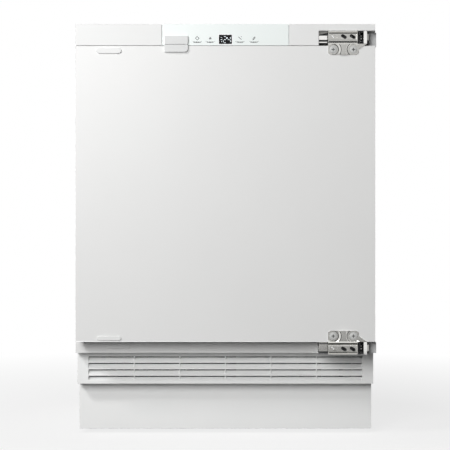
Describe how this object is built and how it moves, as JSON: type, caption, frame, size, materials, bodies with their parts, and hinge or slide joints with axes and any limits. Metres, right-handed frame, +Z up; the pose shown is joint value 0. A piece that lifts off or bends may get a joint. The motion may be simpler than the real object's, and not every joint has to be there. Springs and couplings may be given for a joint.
{
  "type": "undercounter freezer",
  "caption": "Built-under freezer with a hinged door on link hinges, sliding drawers, a touch control band, a louvred grille, a plinth and levelling feet.",
  "frame": {"origin": "middle of the footprint, on the floor", "axes": "+X to the right seen from the front, +Y to the rear, +Z up"},
  "size_m": [0.596, 0.5554, 0.815],
  "materials": {
    "white_enamel": "gloss",
    "white_abs": "satin",
    "fascia_pmma": "gloss",
    "display_glass": "gloss",
    "galvanised_steel": "satin",
    "foam": "matte",
    "liner_white": "satin",
    "spring_steel": "satin",
    "circuit_board": "satin",
    "hinge_nickel": "polished",
    "zinc_steel": "satin",
    "evaporator_aluminium": "satin",
    "black_nylon": "matte",
    "condenser_black": "satin",
    "compressor_black": "gloss",
    "rubber_black": "matte",
    "copper": "satin",
    "hinge_bright_steel": "polished",
    "hinge_dark_steel": "satin",
    "gasket_pvc": "matte",
    "drawer_white": "satin",
    "drawer_clear": "gloss"
  },
  "bodies": {
    "root": {"air_divider": "black_nylon", "back_panel": "galvanised_steel", "base_frame": "galvanised_steel", "bottom_plate": "galvanised_steel", "cabinet_foam": "foam", "compressor": "compressor_black", "compressor_grommets": "rubber_black", "condenser": "condenser_black", "control_board": "circuit_board", "control_fascia": "fascia_pmma", "display_window": "display_glass", "door_sensor_housing": "white_abs", "evaporator_shelf_lower": "evaporator_aluminium", "evaporator_shelf_upper": "evaporator_aluminium", "fan_motor": "zinc_steel", "fan_shroud": "black_nylon", "filter_drier": "copper", "foot_bushes": "black_nylon", "hinge_arm_screws": "zinc_steel", "hinge_arms": "hinge_nickel", "hinge_ground_pins": "zinc_steel", "inner_liner": "liner_white", "lower_rail": "white_enamel", "outer_shell": "white_enamel", "panel_cover_left": "white_abs", "panel_cover_right": "white_abs", "panel_housing": "white_abs", "plinth_clips": "spring_steel", "plinth_panel": "white_abs", "power_inlet": "black_nylon", "rail_plug": "white_abs", "rear_compartment_cover": "galvanised_steel", "refrigerant_tubes": "copper", "start_relay_box": "black_nylon", "temperature_sensor": "liner_white", "vent_grille": "white_abs"},
    "door": {"door_skin": "white_enamel", "door_foam": "foam", "door_liner": "liner_white", "door_gasket": "gasket_pvc", "door_caps": "white_abs", "door_plugs": "white_abs", "door_magnet_housing": "white_abs", "hinge_leaf_upper": "hinge_nickel", "hinge_leaf_lower": "hinge_nickel", "hinge_leaf_screws": "zinc_steel", "hinge_leaf_pins": "zinc_steel"},
    "outer_links": {"hinge_outer_links": "hinge_bright_steel"},
    "control_links": {"hinge_control_links": "hinge_dark_steel"},
    "fan_rotor": {"fan_rotor": "black_nylon"},
    "foot_front_left": {"foot_front_left": "black_nylon"},
    "foot_front_right": {"foot_front_right": "black_nylon"},
    "foot_rear_left": {"foot_rear_left": "black_nylon"},
    "foot_rear_right": {"foot_rear_right": "black_nylon"},
    "drawer_bottom": {"drawer_tub_bottom": "drawer_white", "drawer_front_bottom": "drawer_clear"},
    "drawer_middle": {"drawer_tub_middle": "drawer_white", "drawer_front_middle": "drawer_clear"},
    "drawer_top": {"drawer_tub_top": "drawer_white", "drawer_front_top": "drawer_clear"}
  },
  "joints": [
    {"name": "link_swing", "type": "hinge", "parent": "root", "child": "outer_links", "pos_m": [0.2775, -0.25225, 0.789], "axis": [0, 0, 1], "range_deg": [0, 37.93]},
    {"name": "door_swing", "type": "hinge", "parent": "outer_links", "child": "door", "pos_m": [0.26234, -0.26764, 0.789], "axis": [0, 0, 1], "range_deg": [0, 74.17]},
    {"name": "control_swing", "type": "hinge", "parent": "root", "child": "control_links", "pos_m": [0.27484, -0.26025, 0.789], "axis": [0, 0, 1], "range_deg": [0, 86.14]},
    {"name": "fan_spin", "type": "hinge", "parent": "root", "child": "fan_rotor", "pos_m": [-0.125, -0.05625, 0.09425], "axis": [0, 1, 0], "continuous": true},
    {"name": "front_left_foot_height", "type": "slide", "parent": "root", "child": "foot_front_left", "axis": [0, 0, -1], "range_m": [0, 0.05]},
    {"name": "front_right_foot_height", "type": "slide", "parent": "root", "child": "foot_front_right", "axis": [0, 0, -1], "range_m": [0, 0.05]},
    {"name": "rear_left_foot_height", "type": "slide", "parent": "root", "child": "foot_rear_left", "axis": [0, 0, -1], "range_m": [0, 0.05]},
    {"name": "rear_right_foot_height", "type": "slide", "parent": "root", "child": "foot_rear_right", "axis": [0, 0, -1], "range_m": [0, 0.05]},
    {"name": "drawer_bottom_slide", "type": "slide", "parent": "root", "child": "drawer_bottom", "axis": [0, -1, 0], "range_m": [0, 0.1505]},
    {"name": "drawer_middle_slide", "type": "slide", "parent": "root", "child": "drawer_middle", "axis": [0, -1, 0], "range_m": [0, 0.1505]},
    {"name": "drawer_top_slide", "type": "slide", "parent": "root", "child": "drawer_top", "axis": [0, -1, 0], "range_m": [0, 0.1505]}
  ],
  "couplings": [
    {"joint": "link_swing", "follows": "door_swing", "ratio": 0.51},
    {"joint": "control_swing", "follows": "door_swing", "ratio": 1.16},
    {"joint": "drawer_bottom_slide", "follows": "door_swing", "m_per_rad": 0.11587},
    {"joint": "drawer_middle_slide", "follows": "door_swing", "m_per_rad": 0.11587},
    {"joint": "drawer_top_slide", "follows": "door_swing", "m_per_rad": 0.11587}
  ]
}
